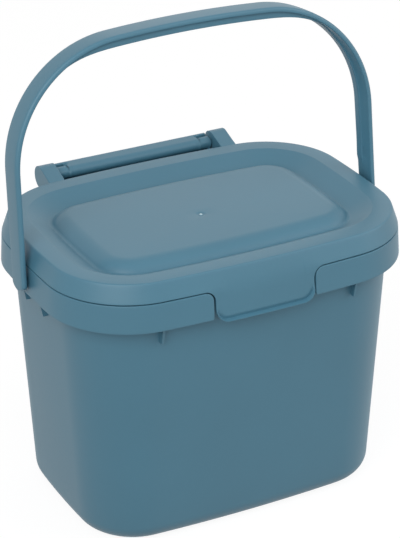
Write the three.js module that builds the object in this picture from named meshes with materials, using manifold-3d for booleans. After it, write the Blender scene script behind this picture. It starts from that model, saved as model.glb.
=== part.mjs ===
// Kitchen food waste caddy: a tapered bucket, a hinged lid and a bail handle.
// Millimetres, +Z up, the front with the opening tab at -Y, origin in the middle of the base.
import * as THREE from 'three';
import { mergeVertices } from 'three/addons/utils/BufferGeometryUtils.js';
import Module from 'manifold-3d';

const wasm = await Module();
wasm.setup();

// Driving dimensions
const degree = Math.PI / 180;

// Plan outline, measured on the outside of the bucket's band
const plan = {
  halfWidth: 118,
  halfDepth: 85.2,
  cornerRadius: 55,
  sideRadius: 1020,
  endRadius: 670,
  cornerSteps: 9,
  sideSteps: 5,
  endSteps: 3,
};

const bucket = {
  rimHeight: 173.3,
  wall: 2,
  floor: 2.4,
  overhang: 8.1,
  taper: 8.7,
  footRadius: 12,
  footSteps: 6,
  lipRise: 2.6,
};

const band = {
  height: 18.1,
  wall: 2,
  lean: 1.1,
  topRadius: 0.8,
};

const gusset = {
  thickness: 1.6,
  drop: 11.5,
  toe: 3,
  waist: 5.3,
  frontSpread: 65,
  endSpread: 12.5,
  bite: 0.8,
};

const lidSize = {
  seatGap: 0.4,
  skirtHeight: 11.5,
  skirtLean: 3.5,
  edgeRadius: 1.4,
  edgeSteps: 3,
  plate: 2,
  rimWidth: 12.4,
  moatSlope: 15,
  moatDepth: 8,
  panelRun: 12,
  panelDrop: 1.4,
  panelSteps: 5,
  plugGap: 0.9,
  plugWall: 1.7,
  plugDepth: 4,
};

const tab = {
  halfWidth: 33,
  drop: 2.2,
  cornerRadius: 8,
  filletRadius: 7,
  sideGap: 1.2,
  notchRadius: 5.5,
  notchWall: 2,
  notchSkin: 0.3,
  lipReach: 2.6,
  lipWall: 2,
  lipRise: 10,
  arcSteps: 6,
};

const hinge = {
  reach: 8.9,
  drop: 2.7,
  barrelRadius: 4.35,
  barrelHalf: 54.8,
  pinRadius: 2.3,
  pinLength: 5.4,
  pinClearance: 0.3,
  knuckleRadius: 7.4,
  knuckleWidth: 10.6,
  endGap: 1.2,
  wallGap: 4.2,
  wall: 2,
  wallRise: 1.9,
  wallInset: 0.5,
  webInset: 8.3,
  floorRise: 2.5,
  floorClimb: 6.5,
  ribWall: 1.8,
  ribCount: 5,
  ribTopDrop: 1.8,
  roundSteps: 24,
};

const bail = {
  reach: 5.1,
  drawIn: 1.57,
  pivotRise: 7.3,
  armRise: 68.8,
  shoulderRadius: 75.3,
  crownRadius: 765,
  lean: 5.77 * degree,
  width: 16.8,
  footWidth: 15.5,
  footDrop: 4.2,
  widenRise: 100,
  strap: 3.4,
  ribWidth: 12,
  ribAtTop: 4.2,
  ribFrom: 52 * degree,
  ribFull: 86 * degree,
  landAtArm: 1,
  landAtShoulder: 0.7,
  landFrom: 32,
  landFull: 44,
  ribGap: 3.3,
  ribFade: 8,
  shoulderSteps: 18,
  crownSteps: 8,
  armSteps: 6,
  studRadius: 2.9,
  studClearance: 0.3,
  tipGap: 1,
  seatRadius: 4.1,
  seatGap: 0.5,
  socketWall: 2.2,
  roundSteps: 20,
};

// How far every cutting solid runs past what it cuts
const overrun = 6;

// Heights and places that follow from the driving dimensions
const bandBottom = bucket.rimHeight - band.height;
const flangeUnder = bucket.rimHeight - bucket.wall;
const skirtBottom = bucket.rimHeight + lidSize.seatGap;
const lidTop = skirtBottom + lidSize.skirtHeight;
const rimInset = band.lean + lidSize.skirtLean;
const creaseInset = rimInset + lidSize.rimWidth;
const moatInset = creaseInset + lidSize.moatSlope;
const panelInset = moatInset + lidSize.panelRun;
const panelTop = lidTop - lidSize.panelDrop;
const tabBottom = bandBottom - tab.drop;
const axisY = plan.halfDepth + hinge.reach;
const axisZ = lidTop - hinge.drop;
const knuckleInner = hinge.barrelHalf + hinge.endGap;
const pivotZ = bandBottom + bail.pivotRise;
const footHalf = plan.halfWidth + bail.reach;
const shoulderHalf = footHalf - bail.drawIn;
const ribStart = lidTop - pivotZ + bail.ribGap;

// Plan outline: four long arcs joined by four corner arcs, all offset in parallel
const sideCentreY = plan.halfDepth - plan.sideRadius;
const endCentreX = plan.halfWidth - plan.endRadius;

function cornerCentre() {
  const reachSide = plan.sideRadius - plan.cornerRadius;
  const reachEnd = plan.endRadius - plan.cornerRadius;
  const across = new THREE.Vector2(endCentreX, -sideCentreY);
  const apart = across.length();
  const along = (reachSide ** 2 - reachEnd ** 2 + apart ** 2) / (2 * apart);
  const off = Math.sqrt(reachSide ** 2 - along ** 2);
  across.normalize();
  return new THREE.Vector2(
    across.x * along + across.y * off,
    sideCentreY + across.y * along - across.x * off,
  );
}

const corner = cornerCentre();
const endAngle = Math.atan2(corner.y, corner.x - endCentreX);
const sideAngle = Math.atan2(corner.y - sideCentreY, corner.x);

function arcPoints(x, y, radius, from, to, steps) {
  const curve = new THREE.EllipseCurve(x, y, radius, radius, from, to);
  return curve.getPoints(steps);
}

function ring(inset, z) {
  const quarter = [
    ...arcPoints(endCentreX, 0, plan.endRadius - inset, 0, endAngle, plan.endSteps),
    ...arcPoints(
      corner.x, corner.y, plan.cornerRadius - inset, endAngle, sideAngle, plan.cornerSteps,
    ).slice(1),
    ...arcPoints(
      0, sideCentreY, plan.sideRadius - inset, sideAngle, Math.PI / 2, plan.sideSteps,
    ).slice(1),
  ];
  const mirrored = quarter.slice(0, -1).reverse();
  const half = [...quarter, ...mirrored.map((p) => new THREE.Vector2(-p.x, p.y))];
  const front = half.slice(1, -1).reverse();
  const whole = [...half, ...front.map((p) => new THREE.Vector2(p.x, -p.y))];
  return whole.map((p) => new THREE.Vector3(p.x, p.y, z));
}

// Distance from the middle to a long side or an end, at a place along it
function sideReach(x, inset) {
  const straight = (plan.sideRadius - inset) * Math.cos(sideAngle);
  if (Math.abs(x) < straight) {
    return sideCentreY + Math.sqrt((plan.sideRadius - inset) ** 2 - x ** 2);
  }
  return corner.y + Math.sqrt((plan.cornerRadius - inset) ** 2 - (Math.abs(x) - corner.x) ** 2);
}

function endReach(y, inset) {
  return endCentreX + Math.sqrt((plan.endRadius - inset) ** 2 - y ** 2);
}

// Solids
function solidOf(geometry) {
  const bare = geometry.clone();
  for (const name of Object.keys(bare.attributes)) {
    if (name !== 'position') bare.deleteAttribute(name);
  }
  const merged = mergeVertices(bare);
  return new wasm.Manifold(new wasm.Mesh({
    numProp: 3,
    vertProperties: new Float32Array(merged.attributes.position.array),
    triVerts: new Uint32Array(merged.index.array),
  }));
}

function geometryOf(solid) {
  const mesh = solid.getMesh();
  const geometry = new THREE.BufferGeometry();
  geometry.setAttribute('position', new THREE.BufferAttribute(new Float32Array(mesh.vertProperties), 3));
  geometry.setIndex(new THREE.BufferAttribute(new Uint32Array(mesh.triVerts), 1));
  geometry.computeVertexNormals();
  return geometry;
}

// A closed solid through rings of the plan outline, from its lower middle to its upper middle
function loft(profile) {
  const rings = profile.map(([inset, z]) => ring(inset, z));
  const count = rings[0].length;
  const points = rings.flat();
  const faces = [];
  for (let k = 0; k + 1 < rings.length; k += 1) {
    for (let j = 0; j < count; j += 1) {
      const next = (j + 1) % count;
      const [a, b] = [k * count + j, k * count + next];
      const [c, d] = [a + count, b + count];
      faces.push(a, b, d, a, d, c);
    }
  }
  const low = points.length;
  points.push(new THREE.Vector3(0, 0, profile[0][1]));
  points.push(new THREE.Vector3(0, 0, profile[profile.length - 1][1]));
  const last = (rings.length - 1) * count;
  for (let j = 0; j < count; j += 1) {
    const next = (j + 1) % count;
    faces.push(low, next, j, low + 1, last + j, last + next);
  }
  const geometry = new THREE.BufferGeometry().setFromPoints(points);
  geometry.setIndex(faces);
  return solidOf(geometry);
}

// A shape drawn in (y, z) and run along X, centred on a place x
function alongX(shape, width, x = 0) {
  const geometry = new THREE.ExtrudeGeometry(shape, {
    depth: width, bevelEnabled: false, curveSegments: hinge.roundSteps,
  });
  geometry.translate(0, 0, -width / 2);
  geometry.applyMatrix4(new THREE.Matrix4().makeBasis(
    new THREE.Vector3(0, 1, 0), new THREE.Vector3(0, 0, 1), new THREE.Vector3(1, 0, 0),
  ));
  geometry.translate(x, 0, 0);
  return solidOf(geometry);
}

// A shape drawn in (x, z) and run along Y between two places
function alongY(shape, from, to) {
  const geometry = new THREE.ExtrudeGeometry(shape, {
    depth: to - from, bevelEnabled: false, curveSegments: tab.arcSteps,
  });
  geometry.rotateX(Math.PI / 2);
  geometry.translate(0, to, 0);
  return solidOf(geometry);
}

function roundBar(radius, from, to, y, z, steps) {
  const geometry = new THREE.CylinderGeometry(radius, radius, Math.abs(to - from), steps);
  geometry.rotateZ(Math.PI / 2);
  geometry.translate((from + to) / 2, y, z);
  return solidOf(geometry);
}

function polygon(points) {
  return new THREE.Shape(points.map(([u, v]) => new THREE.Vector2(u, v)));
}

const sides = [-1, 1];

// Bucket
function wallInset(z) {
  return bucket.overhang + bucket.taper * (1 - Math.min(z, bandBottom) / bandBottom);
}

function bucketShell() {
  const profile = [];
  for (let k = 0; k <= bucket.footSteps; k += 1) {
    const t = (Math.PI / 2) * (1 - k / bucket.footSteps);
    const z = bucket.footRadius * (1 - Math.sin(t));
    profile.push([wallInset(z) + bucket.footRadius * (1 - Math.cos(t)), z]);
  }
  const inner = bucket.overhang + bucket.wall;
  const lipTop = bucket.rimHeight + bucket.lipRise;
  profile.push(
    [bucket.overhang, bandBottom],
    [bucket.overhang, flangeUnder],
    [band.wall + band.lean, flangeUnder],
    [band.wall, bandBottom],
    [0, bandBottom],
    [band.lean, bucket.rimHeight - band.topRadius],
    [band.lean + band.topRadius, bucket.rimHeight],
    [bucket.overhang, bucket.rimHeight],
    [bucket.overhang, lipTop],
    [inner, lipTop],
    [inner, bandBottom],
  );
  const cove = bucket.footRadius - bucket.wall;
  for (let k = 0; k <= bucket.footSteps; k += 1) {
    const t = (Math.PI / 2) * (k / bucket.footSteps);
    const z = bucket.floor + cove * (1 - Math.sin(t));
    profile.push([wallInset(z) + bucket.wall + cove * (1 - Math.cos(t)), z]);
  }
  return loft(profile);
}

// Fin between the bucket's wall and the band, drawn by its reach inwards from the band's face
function gussetShape(reach) {
  const face = reach(band.wall - gusset.bite);
  const wall = reach(bucket.overhang + gusset.bite);
  return polygon([
    [wall, bandBottom - gusset.drop],
    [reach(bucket.overhang - gusset.toe), bandBottom - gusset.drop],
    [reach(bucket.overhang - gusset.waist), bandBottom],
    [face, bandBottom + gusset.toe],
    [face, flangeUnder + gusset.bite],
    [wall, flangeUnder + gusset.bite],
  ]);
}

function gussets() {
  const fins = [];
  for (const sx of sides) {
    for (const sy of sides) {
      const x = sx * gusset.frontSpread;
      const shape = gussetShape((inset) => sideReach(x, inset));
      const fin = alongX(shape, gusset.thickness, x);
      fins.push(sy > 0 ? fin : fin.mirror([0, 1, 0]));
      const y = sy * gusset.endSpread;
      const end = alongX(gussetShape((inset) => endReach(y, inset)), gusset.thickness, 0);
      fins.push(end.rotate([0, 0, sx > 0 ? -90 : 90]).translate([0, y, 0]));
    }
  }
  return fins;
}

// Opening in the front of the band that the lid's tab hangs in, grown by a margin
function notchShape(margin) {
  const half = tab.halfWidth + tab.sideGap + margin;
  const r = tab.notchRadius - margin;
  const top = bucket.rimHeight - margin;
  const shape = new THREE.Shape();
  shape.moveTo(-half, tabBottom - overrun);
  shape.lineTo(half, tabBottom - overrun);
  shape.lineTo(half, top - r);
  shape.absarc(half + r, top - r, r, Math.PI, Math.PI / 2, true);
  shape.lineTo(half + r, top + bucket.lipRise);
  shape.lineTo(-half - r, top + bucket.lipRise);
  shape.lineTo(-half - r, top);
  shape.absarc(-half - r, top - r, r, Math.PI / 2, 0, true);
  return shape;
}

function inFront(shape) {
  return alongY(shape, -plan.halfDepth - overrun, 0);
}

function frontNotch() {
  const skin = bucket.overhang - tab.notchSkin;
  return inFront(notchShape(0)).subtract(loft([
    [skin, tabBottom - 2 * overrun],
    [skin, lidTop + overrun],
  ]));
}

// Walls from the band back to the bucket along both sides of the opening
function notchWalls() {
  const top = bucket.rimHeight - bucket.wall / 2;
  const root = bucket.overhang + bucket.wall / 2;
  const zone = loft([
    [band.wall / 2, bandBottom],
    [band.lean + band.wall / 2, top],
  ]);
  const within = loft([[root, bandBottom - overrun], [root, lidTop]]);
  return zone.subtract(within).intersect(inFront(notchShape(tab.notchWall)));
}

// Hinge bracket behind the bucket: a back wall on a sloping floor carries the barrel
function hingeBracket() {
  const front = sideReach(hinge.barrelHalf, band.wall);
  const wallIn = axisY + hinge.wallGap;
  const wallOut = wallIn + hinge.wall;
  const wallTop = lidTop + hinge.wallRise;
  const floorFront = bandBottom + hinge.floorRise;
  const floorBack = floorFront + hinge.floorClimb;
  const half = hinge.barrelHalf - hinge.wallInset;
  const channel = polygon([
    [front, floorFront],
    [wallOut, floorBack],
    [wallOut, wallTop],
    [wallIn, wallTop],
    [wallIn, floorBack + hinge.wall],
    [front, floorFront + hinge.wall],
  ]);
  const web = polygon([
    [axisY, axisZ],
    [wallOut, axisZ],
    [wallOut, wallTop],
    [axisY, wallTop],
  ]);
  const ribTop = bucket.rimHeight - hinge.ribTopDrop;
  const rib = polygon([
    [front, floorFront],
    [wallOut - hinge.wall / 2, floorBack],
    [wallOut - hinge.wall / 2, ribTop + hinge.wall],
    [front, ribTop],
  ]);
  let bracket = alongX(channel, 2 * half);
  bracket = bracket.add(alongX(web, 2 * (hinge.barrelHalf - hinge.webInset)));
  for (let k = 0; k < hinge.ribCount; k += 1) {
    const share = k / (hinge.ribCount - 1) - 1 / 2;
    bracket = bracket.add(alongX(rib, hinge.ribWall, share * (2 * half - hinge.ribWall)));
  }
  bracket = bracket.subtract(loft([
    [band.wall / 2, bandBottom - overrun],
    [band.wall / 2, bandBottom],
    [band.lean + band.wall / 2, bucket.rimHeight],
    [band.lean + band.wall / 2, lidTop + overrun],
  ]));
  const barrel = roundBar(
    hinge.barrelRadius, -hinge.barrelHalf, hinge.barrelHalf, axisY, axisZ, hinge.roundSteps,
  );
  return bracket.add(barrel);
}

function barrelBores() {
  const radius = hinge.pinRadius + hinge.pinClearance;
  const depth = hinge.barrelHalf - hinge.pinLength + hinge.endGap - hinge.pinClearance;
  return sides.map((side) => roundBar(
    radius, side * depth, side * (hinge.barrelHalf + overrun), axisY, axisZ, hinge.roundSteps,
  ));
}

// Sockets behind the band that take the bail's studs
function pivotSockets() {
  const bore = bail.studRadius + bail.studClearance;
  const stop = endReach(0, bucket.overhang + bucket.wall / 2);
  return sides.map((side) => ({
    boss: roundBar(
      bore + bail.socketWall, side * stop, side * endReach(0, band.wall / 2),
      0, pivotZ, bail.roundSteps,
    ),
    bore: roundBar(
      bore, side * endReach(0, bucket.overhang), side * (plan.halfWidth + overrun),
      0, pivotZ, bail.roundSteps,
    ),
  }));
}

function caddyBody() {
  let body = bucketShell();
  for (const fin of gussets()) body = body.add(fin);
  const sockets = pivotSockets();
  for (const { boss } of sockets) body = body.add(boss);
  body = body.add(notchWalls()).subtract(frontNotch());
  body = body.add(hingeBracket());
  for (const bore of barrelBores()) body = body.subtract(bore);
  for (const { bore } of sockets) body = body.subtract(bore);
  return body;
}

// Lid
const panelRise = lidSize.moatDepth - lidSize.panelDrop;
const panelRadius = (lidSize.panelRun ** 2 + panelRise ** 2) / (2 * panelRise);
const panelSweep = Math.asin(lidSize.panelRun / panelRadius);

function panelArc(radius) {
  const points = [];
  for (let k = 0; k <= lidSize.panelSteps; k += 1) {
    const t = panelSweep * (k / lidSize.panelSteps);
    points.push([
      panelInset - radius * Math.sin(t),
      panelTop - panelRadius + radius * Math.cos(t),
    ]);
  }
  return points;
}

function lidShell() {
  const under = lidTop - lidSize.plate;
  const plugOuter = bucket.overhang + bucket.wall + lidSize.plugGap;
  const plugInner = plugOuter + lidSize.plugWall;
  const plugBottom = bucket.rimHeight - lidSize.plugDepth;
  const slope = lidSize.moatDepth / lidSize.moatSlope;
  const lowered = lidSize.plate * Math.hypot(1, slope);
  const profile = [
    ...panelArc(panelRadius - lidSize.plate),
    [moatInset, lidTop - lidSize.moatDepth - lowered],
    [creaseInset - (lowered - lidSize.plate) / slope, under],
    [plugInner, under],
    [plugInner, plugBottom],
    [plugOuter, plugBottom],
    [plugOuter, under],
    [rimInset + lidSize.plate, under],
    [band.lean + lidSize.plate, skirtBottom],
    [band.lean, skirtBottom],
  ];
  const edge = lidSize.edgeRadius;
  for (let k = 0; k <= lidSize.edgeSteps; k += 1) {
    const t = (Math.PI / 2) * (k / lidSize.edgeSteps);
    profile.push([rimInset + edge * (1 - Math.cos(t)), lidTop - edge * (1 - Math.sin(t))]);
  }
  profile.push([creaseInset, lidTop], ...panelArc(panelRadius).reverse());
  return loft(profile);
}

// Front of the tab, drawn in (x, z), drawn in by a margin on its sides and bottom
function tabShape(margin, top) {
  const half = tab.halfWidth - margin;
  const bottom = tabBottom + margin;
  const r = tab.cornerRadius - margin;
  const f = tab.filletRadius + margin;
  const shape = new THREE.Shape();
  shape.moveTo(-half - f, skirtBottom);
  shape.absarc(-half - f, skirtBottom - f, f, Math.PI / 2, 0, true);
  shape.absarc(-half + r, bottom + r, r, Math.PI, 3 * Math.PI / 2, false);
  shape.absarc(half - r, bottom + r, r, -Math.PI / 2, 0, false);
  shape.absarc(half + f, skirtBottom - f, f, Math.PI, Math.PI / 2, true);
  shape.lineTo(half + f, top);
  shape.lineTo(-half - f, top);
  return shape;
}

// Wall that follows the band's face, between two depths measured in from that face
function facePanel(outer, inner, bottom, top) {
  const wall = (depth, low, high) => loft([
    [depth, low],
    [depth, bandBottom],
    [band.lean + depth, skirtBottom],
    [band.lean + depth + high - skirtBottom, high],
  ]);
  return wall(outer, bottom, top).subtract(wall(inner, bottom - overrun, top + overrun));
}

// The finger lip stands out along the tab's sides and bottom, and dies out up the sides
function lipFlare() {
  const top = tabBottom + tab.lipRise;
  const face = band.lean * ((top - bandBottom) / (skirtBottom - bandBottom));
  const outer = loft([[-tab.lipReach, tabBottom - overrun], [-tab.lipReach, tabBottom], [face, top]]);
  return outer.subtract(loft([
    [lidSize.plate / 2, tabBottom - 2 * overrun],
    [lidSize.plate / 2, top + overrun],
  ]));
}

function frontTab() {
  const top = skirtBottom + lidSize.plate / 2;
  const whole = inFront(tabShape(0, top));
  const middle = tabShape(tab.lipWall, top + overrun);
  const panel = facePanel(0, lidSize.plate, tabBottom - overrun, top).intersect(whole);
  const edging = whole.subtract(alongY(middle, -plan.halfDepth - 2 * overrun, overrun));
  return panel.add(lipFlare().intersect(edging));
}

// Knuckle that reaches back from the lid's rim and carries a pin stub
function tangentAngle(point, turn) {
  const away = new THREE.Vector2(point[0] - axisY, point[1] - axisZ);
  const open = Math.acos(hinge.knuckleRadius / away.length());
  return Math.atan2(away.y, away.x) - turn * open;
}

function knuckle(side) {
  const middle = knuckleInner + hinge.knuckleWidth / 2;
  const top = [sideReach(middle, rimInset + lidSize.edgeRadius), lidTop];
  const low = [sideReach(middle, band.lean + lidSize.plate / 2), skirtBottom + lidSize.seatGap];
  const from = tangentAngle(top, 1);
  const to = tangentAngle(low, -1);
  const shape = new THREE.Shape();
  shape.moveTo(...low);
  shape.lineTo(...top);
  shape.absarc(axisY, axisZ, hinge.knuckleRadius, from, to, true);
  const arm = alongX(shape, hinge.knuckleWidth, side * middle);
  const inside = loft([
    [band.lean + lidSize.plate / 2, skirtBottom - overrun],
    [band.lean + lidSize.plate / 2, skirtBottom],
    [rimInset + lidSize.plate / 2, lidTop - lidSize.plate / 2],
  ]);
  const pin = roundBar(
    hinge.pinRadius, side * (knuckleInner - hinge.pinLength), side * middle,
    axisY, axisZ, hinge.roundSteps,
  );
  return arm.subtract(inside).add(pin);
}

function lid() {
  let cover = lidShell().add(frontTab());
  for (const side of sides) cover = cover.add(knuckle(side));
  return cover;
}

// Bail handle, drawn upright with its pivot axis at height zero
const armAngle = Math.atan2(bail.drawIn, bail.armRise);
const shoulder = new THREE.Vector2(
  shoulderHalf - bail.shoulderRadius * Math.cos(armAngle),
  bail.armRise - bail.shoulderRadius * Math.sin(armAngle),
);
const crownY = shoulder.y
  - Math.sqrt((bail.crownRadius - bail.shoulderRadius) ** 2 - shoulder.x ** 2);
const crownAngle = Math.atan2(shoulder.y - crownY, shoulder.x);
const crownTop = crownY + bail.crownRadius;

// Points on the bail's outer line with the direction that points into the loop
function bailLine() {
  const places = [];
  const inward = (angle) => new THREE.Vector2(-Math.cos(angle), -Math.sin(angle));
  const foot = -bail.footDrop;
  for (let k = 0; k < bail.armSteps; k += 1) {
    const rise = foot + (bail.armRise - foot) * (k / bail.armSteps);
    const x = footHalf - rise * Math.tan(armAngle);
    places.push({ point: new THREE.Vector2(x, rise), inward: inward(armAngle), rise });
  }
  for (let k = 0; k <= bail.shoulderSteps; k += 1) {
    const t = armAngle + (crownAngle - armAngle) * (k / bail.shoulderSteps);
    const point = new THREE.Vector2(Math.cos(t), Math.sin(t)).multiplyScalar(bail.shoulderRadius);
    point.add(shoulder);
    places.push({ point, inward: inward(t), rise: point.y });
  }
  for (let k = 1; k <= bail.crownSteps; k += 1) {
    const t = crownAngle + (Math.PI / 2 - crownAngle) * (k / bail.crownSteps);
    const point = new THREE.Vector2(Math.cos(t), Math.sin(t)).multiplyScalar(bail.crownRadius);
    point.y += crownY;
    places.push({ point, inward: inward(t), rise: point.y });
  }
  const mirrored = places.slice(0, -1).reverse().map(({ point, inward: into, rise }) => ({
    point: new THREE.Vector2(-point.x, point.y),
    inward: new THREE.Vector2(-into.x, into.y),
    rise,
  }));
  return [...places, ...mirrored];
}

// Depth of the finger rib under the crown
function ribDepth({ inward }) {
  const angle = Math.asin(Math.min(1, Math.abs(inward.y)));
  return bail.ribAtTop * THREE.MathUtils.smoothstep(angle, bail.ribFrom, bail.ribFull);
}

// Depth of the land along the rear half of the arms, fading out above the lid
function landDepth({ rise }) {
  const fade = THREE.MathUtils.clamp((rise - ribStart) / bail.ribFade, 0, 1);
  const share = THREE.MathUtils.smoothstep(rise, bail.landFrom, bail.landFull);
  return fade * THREE.MathUtils.lerp(bail.landAtArm, bail.landAtShoulder, share);
}

function bailStrip(line, near, far, front, back) {
  const at = (place, depth) => place.point.clone().addScaledVector(place.inward, depth);
  const outer = line.map((place) => at(place, near(place)));
  const inner = line.map((place) => at(place, far(place))).reverse();
  return alongY(new THREE.Shape([...outer, ...inner]), front, back);
}

function bailHandle() {
  const line = bailLine();
  const half = bail.width / 2;
  const strap = bailStrip(line, () => 0, () => bail.strap, -half, half);
  const above = line.filter((place) => place.rise > ribStart);
  const raised = (depth, front) => bailStrip(
    above, () => bail.strap / 2, (place) => bail.strap + depth(place), front, bail.ribWidth / 2,
  );
  const reach = new THREE.Shape();
  reach.absellipse(0, 0, bail.footWidth / 2, bail.footDrop, Math.PI, 2 * Math.PI, false);
  reach.lineTo(half, bail.widenRise);
  reach.lineTo(half, crownTop + overrun);
  reach.lineTo(-half, crownTop + overrun);
  reach.lineTo(-half, bail.widenRise);
  const ribs = raised(ribDepth, -bail.ribWidth / 2).add(raised(landDepth, 0));
  let handle = strap.add(ribs).intersect(alongX(reach, 2 * (footHalf + overrun)));
  for (const side of sides) {
    const root = footHalf - bail.strap / 2;
    handle = handle.add(roundBar(
      bail.seatRadius, side * (plan.halfWidth + bail.seatGap), side * root, 0, 0, bail.roundSteps,
    ));
    handle = handle.add(roundBar(
      bail.studRadius, side * (plan.halfWidth - bucket.overhang + bail.tipGap), side * root,
      0, 0, bail.roundSteps,
    ));
  }
  return handle;
}

// Scene graph
function plastic(colour) {
  return new THREE.MeshStandardMaterial({ color: colour, roughness: 0.45, metalness: 0 });
}

function piece(name, solid, colour) {
  const mesh = new THREE.Mesh(geometryOf(solid), plastic(colour));
  mesh.name = name;
  return mesh;
}

const caddy = new THREE.Group();
const handle = piece('bail_handle', bailHandle(), 0x6f96aa);
handle.position.z = pivotZ;
handle.rotation.x = -bail.lean;
caddy.add(piece('caddy_body', caddyBody(), 0x6b92a7));
caddy.add(piece('lid', lid(), 0x7399ab));
caddy.add(handle);

export default caddy;
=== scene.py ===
"""Kitchen food waste caddy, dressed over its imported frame: bucket, hinged lid and bail handle."""

import math
from types import SimpleNamespace

import bmesh
import bpy
from bpy.props import FloatProperty, FloatVectorProperty, PointerProperty
from mathutils import Matrix, Vector


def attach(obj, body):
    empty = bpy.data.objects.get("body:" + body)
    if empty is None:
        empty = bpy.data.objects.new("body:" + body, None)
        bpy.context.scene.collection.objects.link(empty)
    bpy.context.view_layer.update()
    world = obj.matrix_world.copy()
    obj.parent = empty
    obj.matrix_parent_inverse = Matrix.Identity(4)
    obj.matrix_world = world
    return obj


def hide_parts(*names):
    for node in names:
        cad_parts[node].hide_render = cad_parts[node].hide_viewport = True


bl_info = {
    "name": "Food waste caddy",
    "version": (1, 0, 0),
    "blender": (4, 5, 0),
    "location": "View3D > Sidebar > Caddy",
    "description": "Builds a kitchen food waste caddy with a hinged lid and a bail handle",
    "category": "Add Mesh",
}

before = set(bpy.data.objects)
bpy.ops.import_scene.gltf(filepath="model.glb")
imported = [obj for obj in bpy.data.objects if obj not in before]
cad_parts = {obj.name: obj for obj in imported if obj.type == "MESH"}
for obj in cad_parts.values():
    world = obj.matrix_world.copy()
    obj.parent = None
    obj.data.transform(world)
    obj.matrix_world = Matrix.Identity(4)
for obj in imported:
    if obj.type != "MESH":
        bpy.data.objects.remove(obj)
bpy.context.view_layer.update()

METRE = 1000.0
SMOOTH_TURN = math.radians(38)

# The lid's gate mark: its place on the panel, the radius of its pip with a painted highlight,
# and the radii and depths of its rings
GATE_PLACE = (-2.7, -6.2)
GATE_PIP = 0.95
GATE_RINGS = (
    (0.35, -0.22), (0.7, -0.1), (0.95, 0.2), (1.3, 0.42),
    (1.9, 0.46), (2.5, 0.3), (3.0, 0.08), (3.4, 0),
)

# Rows down the skirt's edge: distance from the lower border and depth from the face
SKIRT_ROWS = (
    (6.2, 0), (5.2, 0), (4.5, 0), (3.9, 0), (3.3, 0), (2.7, 0), (2.1, 0), (1.6, 0), (1.35, 0),
    (1.2, 0), (1.05, 0), (0.7, 0), (0.35, 0), (0.2, 0), (0.1, 0.04), (0.03, 0.12), (0, 0.25),
    (0, 1.6), (0.06, 1.82), (0.22, 1.95), (0.5, 2), (1.4, 2), (2.5, 2),
)

# Distance between neighbouring columns round the outline
BUCKET_SPACING = 3
BAND_SPACING = 2.6
LID_SPACING = 2.4

# A ring's inset at the middle, the share of the way there that its corners are drawn in,
# and the least radius that its corners keep
POLE_INSET = 100
POLE_SHARE = 0.9
CORNER_LEAST = 9

# How far the bucket's lip, with its round top, continues below the rim on the outside and inside
RIM_LIP_OUTSIDE = 2
RIM_LIP_INSIDE = 1
RIM_LIP_ROUND = 0.7

# How far the band's flange and the gussets run into the walls that they join
BAND_BITE = 0.9
GUSSET_BITE = 0.8

# How far the band's fanned columns go on past the notch's round corner
NOTCH_RUN = 6

# Turns round the hinge line between which the barrel's face is bare: from low on its rear,
# round its front, to high on its rear in the notches or to its top under the web
BARREL_LOW_TURN = math.radians(-28)
BARREL_NOTCH_TURN = math.radians(20)
BARREL_WEB_TURN = math.radians(97)

# The floor of the bracket's channel: its height over the band's bottom and its rise to the back
CHANNEL_LOW = 2.5
CHANNEL_RISE = 6.5

# The bracket's edge radii at the wall's top and at its ends, and the ribs' half thickness,
# edge radius, and heights over the band's bottom in front and behind
BRACKET_ROUND = 0.6
BRACKET_END_ROUND = 0.4
BRACKET_RIB = 0.9
BRACKET_RIB_ROUND = 0.25
BRACKET_RIB_FRONT = 3
BRACKET_RIB_BACK = 10

# A place on the moat's slope: how far it lies inside the crease and above the moat
SLOPE_PLACE = (5, 5.33)

# Height of the stretch under the lid's top in which the skirt's columns fan out to the rim
SKIRT_FAN = 3

# How soft the skirt's bend is above the tab and elsewhere, and the width over which one
# becomes the other
TAB_SOFTNESS = 2.4
SKIRT_SOFTNESS = 0.5
SOFTNESS_RUN = 20

# Turns of the bail's line between which the grip rib rises, and between which it widens
# to the front
RIB_START = math.radians(52)
RIB_FULL = math.radians(86)
RIB_WIDENS = math.radians(38)
RIB_WIDE = math.radians(60)

# The strap's edge radii in front, behind and inside, and how far its outer face bows
STRAP_FRONT_ROUND = 1.6
STRAP_REAR_ROUND = 0.7
STRAP_INNER_ROUND = 0.8
STRAP_BOW = 0.28

# How high over the pivots the strap has its full width, as a share of the arms' rise
WIDE_SHARE = 1.44

# The land along the rear of the arms: how far above the lid it starts, the height over which
# it appears, and how high over the pivots and over which height it becomes shallower
LAND_ABOVE_LID = 3.3
LAND_FADE = 6
LAND_THINS = 32
LAND_THINS_RUN = 12

# The place of the land's front edge across the strap, and its gap to the strap's rear edge
LAND_FRONT = 1.4
LAND_REAR = 0.5

# The rib's edge radius, and the two steps of the flare at its root
RIB_ROUND = 0.45
RIB_FLARE = 0.25
RIB_FLARE_NEAR = 0.06

# Distances from the tab's border: where the finger lip ends, its root,
# and where the face is plain again
FINGER_LIP_EDGE = 0.35
FINGER_LIP_ROOT = 1.05
FINGER_LIP_FACE = 3.6

# Scales of the plastic's patterns
CLOUD_SCALE = 14.0
SPECK_SCALE = 420.0
GRAIN_SCALE = 1500.0

# Each lamp's name, place and size in metres
LAMPS = (
    ("key", (-1.01, -1.02, 1.12), 1.4),
    ("fill", (1.3, -0.87, 0.9), 1.4),
    ("glance", (0.85, 1.15, 1.0), 1.2),
)
LAMP_AIM = (0, 0, 0.15)

# The camera: its azimuth, elevation and roll in degrees, its place in metres and its lens
CAMERA_TURNS = (-27.22, 26.56, -0.33)
CAMERA_PLACE = (-0.564234, -1.096319, 0.759680)
CAMERA_LENS = 148.02
CAMERA_SENSOR = 36


# Sizes and colours that a user would change


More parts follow.
